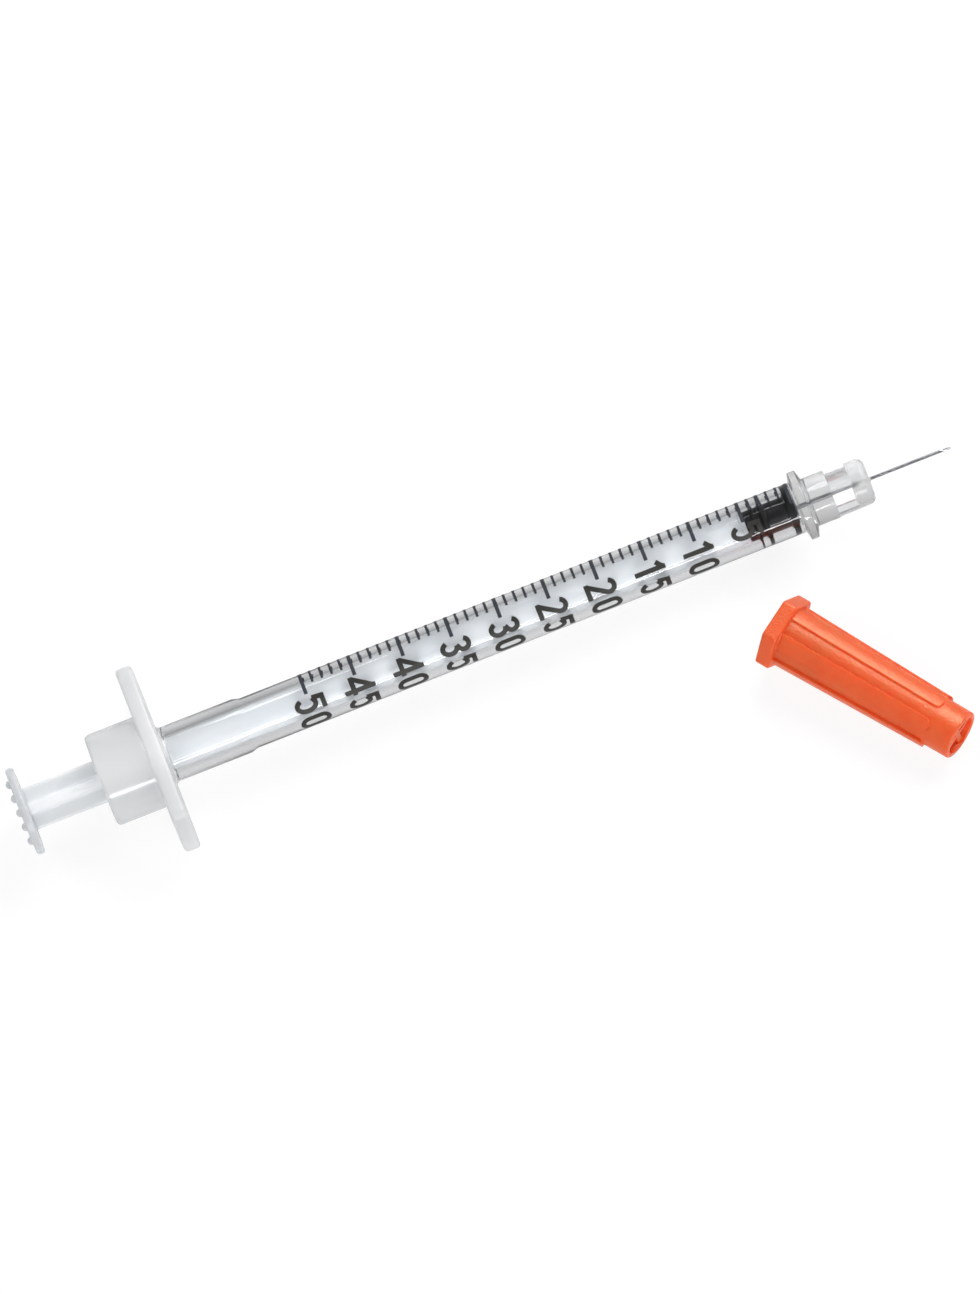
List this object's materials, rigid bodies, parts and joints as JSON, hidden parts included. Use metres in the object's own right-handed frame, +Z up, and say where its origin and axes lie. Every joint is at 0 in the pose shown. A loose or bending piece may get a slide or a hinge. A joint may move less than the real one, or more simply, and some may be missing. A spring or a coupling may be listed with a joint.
{
  "type": "insulin syringe",
  "caption": "Half-millilitre insulin syringe with fixed needle, scale lines, ribbed rubber stopper, plunger rod with thumb disc, and a ribbed needle cap lying beside it.",
  "frame": {"origin": "centre of the collar's front face, on the barrel's axis, where the needle cap seats", "axes": "+X along the barrel towards the needle; +Y along the finger flange; +Z up, square to the flange's flat side that the syringe rests on"},
  "size_m": [0.0963, 0.0384, 0.0098],
  "materials": {
    "barrel_plastic": "clear moulded polypropylene, milky where it is thick",
    "scale_ink": "printed ink",
    "needle_steel": "drawn and ground",
    "adhesive": "cured clear glue",
    "stopper_rubber": "smooth moulded",
    "rod_plastic": "milky moulded polypropylene",
    "cap_plastic": "satin moulded polyethylene"
  },
  "bodies": {
    "syringe_barrel": {"barrel": "barrel_plastic", "scale_lines": "scale_ink", "needle": "needle_steel", "needle_adhesive": "adhesive"},
    "stopper": {"stopper": "stopper_rubber"},
    "plunger": {"plunger_rod": "rod_plastic"},
    "cap": {"needle_cap": "cap_plastic"}
  },
  "joints": [
    {"name": "plunger_slide", "type": "slide", "parent": "syringe_barrel", "child": "stopper", "axis": [-1, 0, 0], "range_m": [0, 0.061]},
    {"name": "rod_turn", "type": "hinge", "parent": "stopper", "child": "plunger", "pos_m": [-0.00645, 0, 0], "axis": [1, 0, 0], "continuous": true},
    {"name": "cap_slide", "type": "slide", "parent": "syringe_barrel", "child": "cap", "axis": [0.5947, -0.8039, 0.0126], "range_m": [0, 0.03]}
  ]
}
